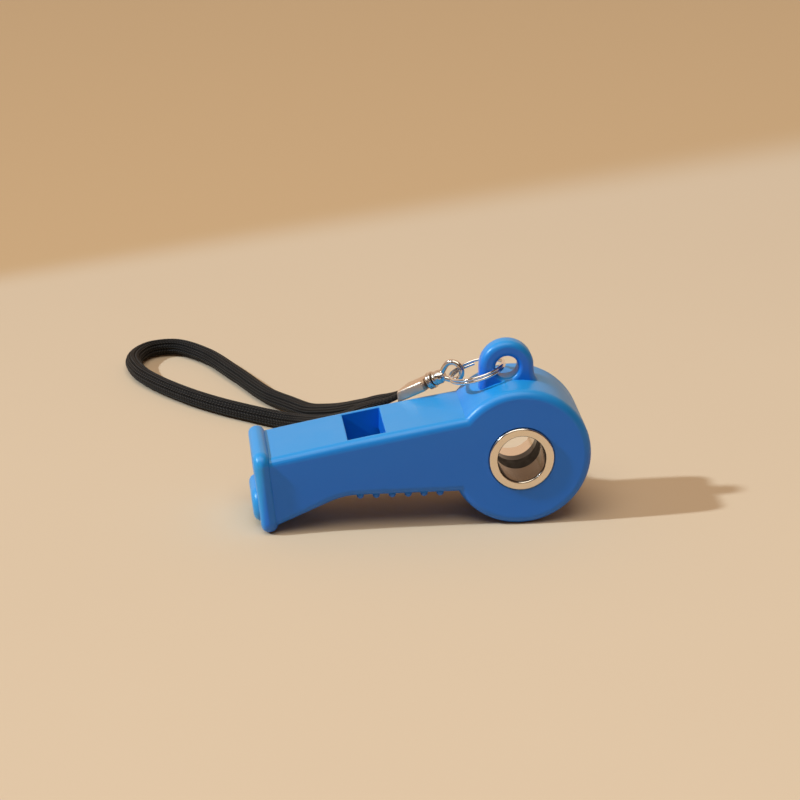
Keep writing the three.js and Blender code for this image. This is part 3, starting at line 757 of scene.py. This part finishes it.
def cord_clamp(nickel_sheet):
    bpy.ops.object.select_all(action="DESELECT")
    middle = -CLAMP_AT - CLAMP_LENGTH / 2
    bpy.ops.mesh.primitive_cube_add(size=1.0, location=(0, 0, middle),
                                    scale=(CLAMP_WIDTH, CLAMP_THICKNESS, CLAMP_LENGTH))
    clamp = bpy.context.active_object
    clamp.name = "folded_cord_clamp"
    bpy.ops.object.transform_apply(location=True, rotation=False, scale=True)
    mouth = -CLAMP_AT - CLAMP_LENGTH
    bpy.ops.object.mode_set(mode="EDIT")
    mesh = bmesh.from_edit_mesh(clamp.data)
    bpy.ops.mesh.select_all(action="DESELECT")
    for vert in mesh.verts:
        vert.select_set(vert.co.z < mouth + WELD and vert.co.y > 0)
    mesh.select_flush(True)
    bmesh.update_edit_mesh(clamp.data)
    bpy.ops.transform.translate(value=(0, 0, CLAMP_SLANT))
    # long folds rounded before the mouth is opened
    mesh = bmesh.from_edit_mesh(clamp.data)
    bpy.ops.mesh.select_all(action="DESELECT")
    for edge in mesh.edges:
        a, b = edge.verts
        edge.select_set((a.co.xy - b.co.xy).length < WELD)
    bmesh.update_edit_mesh(clamp.data)
    bpy.ops.mesh.bevel(offset=CLAMP_FOLD, segments=5, profile=0.5)
    select_faces(clamp, lambda c, n: n.z < -0.5)
    bpy.ops.mesh.inset(thickness=CLAMP_SHEET)
    bpy.ops.mesh.extrude_region_move(
        TRANSFORM_OT_translate={"value": (0, 0, CLAMP_LENGTH - CLAMP_SHEET - CLAMP_SLANT)})
    bpy.ops.mesh.select_all(action="SELECT")
    bpy.ops.mesh.normals_make_consistent(inside=False)
    bpy.ops.object.mode_set(mode="OBJECT")
    soften_edges(clamp, CLAMP_EDGE, segments=2, limit=40)
    settle(clamp, swivel_place())
    dress(clamp, nickel_sheet, 35)
    give(clamp, "cord_end", "clamp_nickel", "cord_clamp")


# The wrist cord

def cord_points():
    side = SWIVEL_ACROSS * CORD_SPACING
    drop = CLAMP_MOUTH.z - CORD_FLOOR
    leads = [(CLAMP_MOUTH + SWIVEL_ALONG * inwards, side * spread) for inwards, spread in CORD_LEAD]
    points = [middle + offset for middle, offset in leads]
    for x, y, share in CORD_ROUTE:
        points.append(Vector((CLAMP_MOUTH.x + x, CLAMP_MOUTH.y + y, CORD_FLOOR + share * drop)))
    points += [middle - offset for middle, offset in reversed(leads)]
    return points


def cord_section(share):
    """Offsets round the cord: pressed flat for the clamp at share 0, round and ribbed at 1."""
    radius = CORD_DIAMETER / 2
    wide = PRESSED_HALF_WIDTH + (radius - PRESSED_HALF_WIDTH) * share
    high = PRESSED_HALF_HEIGHT + (radius - PRESSED_HALF_HEIGHT) * share
    depth = CORD_RIB_DEPTH * share
    result = []
    for k in range(CORD_SIDES):
        turn = 2 * math.pi * k / CORD_SIDES
        furrow = abs(math.cos(CORD_RIBS * turn / 2)) ** 8
        size = 1.0 - depth * furrow / radius
        result.append((wide * size * math.cos(turn), high * size * math.sin(turn)))
    return result


def wrist_cord(yarn):
    path = evenly(centripetal(cord_points(), CORD_CURVE_STEPS), CORD_STEP)
    along = [0.0]
    for a, b in zip(path, path[1:]):
        along.append(along[-1] + (b - a).length)
    length = along[-1]
    mesh = bmesh.new()
    layer = mesh.loops.layers.uv.new("around_and_along")
    rings = []
    for i, point in enumerate(path):
        direction = (path[min(i + 1, len(path) - 1)] - path[max(i - 1, 0)]).normalized()
        up = Vector((0, 0, 1))
        up = (up - direction * up.dot(direction)).normalized()
        across = up.cross(direction)
        end = min(along[i], length - along[i])
        section = cord_section(eased((end - PRESSED_LENGTH) / SWELLING_LENGTH))
        rings.append([mesh.verts.new(point + across * a + up * b) for a, b in section])
    for i in range(len(rings) - 1):
        for k in range(CORD_SIDES):
            beside = (k + 1) % CORD_SIDES
            face = mesh.faces.new((rings[i][k], rings[i][beside],
                                   rings[i + 1][beside], rings[i + 1][k]))
            corners = ((k, i), (k + 1, i), (k + 1, i + 1), (k, i + 1))
            for loop, (turn, step) in zip(face.loops, corners):
                loop[layer].uv = (turn / CORD_SIDES, along[step])
            face.smooth = True
    mesh.faces.new(list(reversed(rings[0])))
    mesh.faces.new(rings[-1])
    bmesh.ops.recalc_face_normals(mesh, faces=mesh.faces)
    data = bpy.data.meshes.new("braided_wrist_cord")
    mesh.to_mesh(data)
    mesh.free()
    cord = bpy.data.objects.new("braided_wrist_cord", data)
    bpy.context.collection.objects.link(cord)
    cord.data.materials.append(yarn)
    give(cord, "cord_end", "cord_black", "wrist_cord")


# Floor and light

def floor_with_painted_shadow():
    bpy.ops.object.select_all(action="DESELECT")
    bpy.ops.mesh.primitive_plane_add(size=TABLE_SIZE, location=(0, 0, -TABLE_GAP))
    floor = bpy.context.active_object
    floor.name = "table_top"
    material, tree, shader = new_material("warm_beige_table")
    where = object_coordinates(tree)
    parts = add(tree, "ShaderNodeSeparateXYZ")
    tree.links.new(where, parts.inputs["Vector"])
    # painted shadow: the darker area behind is a shadow painted into the table's colour; it starts
    # at a slanting line and grows softer to the right
    slant = math_node(tree, "MULTIPLY", parts.outputs["X"], PAINTED_SHADOW_SLOPE)
    line = math_node(tree, "ADD", slant, PAINTED_SHADOW_START)
    past = math_node(tree, "SUBTRACT", parts.outputs["Y"], line)
    softer = math_node(tree, "MULTIPLY", parts.outputs["X"], PAINTED_SHADOW_SOFTER_TO_RIGHT)
    soft = math_node(tree, "ADD", softer, PAINTED_SHADOW_SOFTNESS)
    soft = math_node(tree, "MAXIMUM", soft, PAINTED_SHADOW_LEAST_SOFTNESS)
    share = math_node(tree, "ADD", math_node(tree, "DIVIDE", past, soft), 0.5, clamp=True)
    painted_shadow_share = add(tree, "ShaderNodeMapRange", interpolation_type="SMOOTHERSTEP")
    tree.links.new(share, painted_shadow_share.inputs["Value"])
    paper = noise(tree, where, scale=12, detail=3.0)
    light = mixed(tree, paper, (0.706, 0.535, 0.362), (0.726, 0.554, 0.376))
    # painted shadow: the darker tan mixed in past the line
    colour = mixed(tree, painted_shadow_share.outputs["Result"], light, (0.618, 0.404, 0.214))
    tree.links.new(colour, shader.inputs["Base Color"])
    shader.inputs["Roughness"].default_value = 0.9
    shader.inputs["Specular IOR Level"].default_value = 0.1
    floor.data.materials.append(material)


def softbox(name, place, size, energy, colour):
    lamp = bpy.data.lights.new(name, "AREA")
    lamp.shape = "RECTANGLE"
    lamp.size, lamp.size_y = size
    lamp.energy = energy
    lamp.color = colour
    box = bpy.data.objects.new(name, lamp)
    bpy.context.collection.objects.link(box)
    box.location = place
    box.rotation_euler = (-Vector(place)).to_track_quat("-Z", "Y").to_euler()


def room_directions(tree):
    return add(tree, "ShaderNodeTexCoord").outputs["Generated"]


def studio_light():
    world = bpy.data.worlds.new("studio")
    world.use_nodes = True
    tree = world.node_tree
    background = tree.nodes["Background"]
    # a warm wall behind the table, a dimmer room in front of it
    facing = add(tree, "ShaderNodeSeparateXYZ")
    tree.links.new(room_directions(tree), facing.inputs["Vector"])
    back = add(tree, "ShaderNodeMapRange", interpolation_type="SMOOTHSTEP")
    back.inputs["From Min"].default_value = -0.2
    back.inputs["From Max"].default_value = 0.8
    tree.links.new(facing.outputs["Y"], back.inputs["Value"])
    # the wall shows more strongly in what shines than in the light it gives
    lit = mixed(tree, back.outputs["Result"], (0.17, 0.100, 0.055), (0.42, 0.275, 0.17))
    seen = mixed(tree, back.outputs["Result"], (0.10, 0.060, 0.040), (0.82, 0.58, 0.41))
    glossy = add(tree, "ShaderNodeLightPath").outputs["Is Glossy Ray"]
    tree.links.new(mixed(tree, glossy, lit, seen), background.inputs["Color"])
    background.inputs["Strength"].default_value = 1.0
    bpy.context.scene.world = world
    sun = bpy.data.lights.new("window_sun", "SUN")
    sun.energy = SUN_STRENGTH
    sun.angle = SUN_SPREAD
    sun.color = SUN_COLOUR
    lamp = bpy.data.objects.new("window_sun", sun)
    bpy.context.collection.objects.link(lamp)
    lamp.rotation_euler = SUN_TRAVEL.to_track_quat("-Z", "Y").to_euler()
    softbox("overhead_softbox", SOFTBOX_PLACE, SOFTBOX_SIZE, SOFTBOX_POWER, SOFTBOX_COLOUR)


place_camera()
blue = moulded_blue_plastic()
nickel = eyelet_nickel()
chrome = polished_metal("bright_chrome", colour=(0.84, 0.82, 0.80), shade=(0.78, 0.75, 0.72),
                        rough=0.07)
cast = polished_metal("cast_nickel", colour=(0.74, 0.66, 0.58), shade=(0.62, 0.54, 0.47),
                      rough=0.15)
sheet = brushed_nickel()
black = black_sleeve_plastic()
yarn = braided_black_yarn(BRAID_COLUMNS, STITCHES_PER_METRE)
wrist_cord(yarn)

for half in ("near", "far"):
    shell = dressed_copy("body_shell_" + half, "blue_shell_" + half, blue,
                         rim=rounded_window_rim)
    give(shell, "whistle_body", "body_blue", "body_shell_" + half)
    rim = dressed_copy("eyelet_" + half, "nickel_eyelet_" + half, nickel, angle=50)
    give(rim, "whistle_body", "eyelet_nickel", "eyelet_" + half)
lining = dressed_copy("bore_sleeve", "black_bore_sleeve", black)
give(lining, "whistle_body", "sleeve_black", "bore_sleeve")
split_ring(chrome)
swivel_eye(cast)
swivel_collar(cast)
swivel_rivet(cast)
cord_clamp(sheet)

floor_with_painted_shadow()
studio_light()
